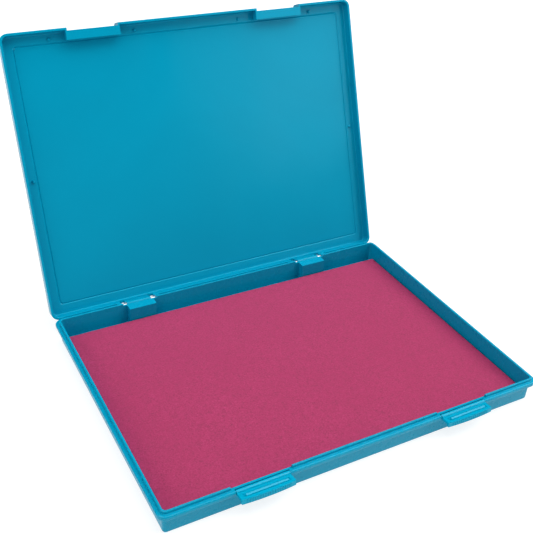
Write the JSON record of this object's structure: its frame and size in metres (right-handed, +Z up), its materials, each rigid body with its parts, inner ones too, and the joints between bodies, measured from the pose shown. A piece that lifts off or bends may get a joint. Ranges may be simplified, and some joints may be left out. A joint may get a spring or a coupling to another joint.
{
  "type": "ink pad",
  "caption": "Wide shallow hinged plastic case, open, holding a cloth-covered ink pad, with a tray, a lid on rear pins and flap latches at the front.",
  "frame": {"origin": "centre of the tray's flat underside, on the table", "axes": "+X along the latch side, +Y from the latches to the hinges, +Z up out of the pad"},
  "size_m": [0.22, 0.2301, 0.1614],
  "materials": {
    "case_plastic": "semi-gloss moulded",
    "latch_plastic": "semi-gloss moulded",
    "pin_steel": "drawn wire",
    "backing_board": "matt",
    "inked_felt": "ink-soaked felt",
    "pad_cloth": "fine inked cloth"
  },
  "bodies": {
    "tray": {"base_tray": "case_plastic", "hinge_pin_left": "pin_steel", "hinge_pin_right": "pin_steel", "pad_board": "backing_board", "pad_felt": "inked_felt", "pad_cover": "pad_cloth"},
    "lid": {"lid": "case_plastic"},
    "latch_left": {"latch_left": "latch_plastic"},
    "latch_right": {"latch_right": "latch_plastic"}
  },
  "joints": [
    {"name": "lid_hinge", "type": "hinge", "parent": "tray", "child": "lid", "pos_m": [0, 0.0804, 0.01125], "axis": [-1, 0, 0], "range_deg": [-110, 0]},
    {"name": "latch_left_hinge", "type": "hinge", "parent": "tray", "child": "latch_left", "pos_m": [-0.0585, -0.07925, 0.01215], "axis": [1, 0, 0], "range_deg": [-83, 45]},
    {"name": "latch_right_hinge", "type": "hinge", "parent": "tray", "child": "latch_right", "pos_m": [0.0585, -0.07925, 0.01215], "axis": [1, 0, 0], "range_deg": [-83, 45]}
  ]
}
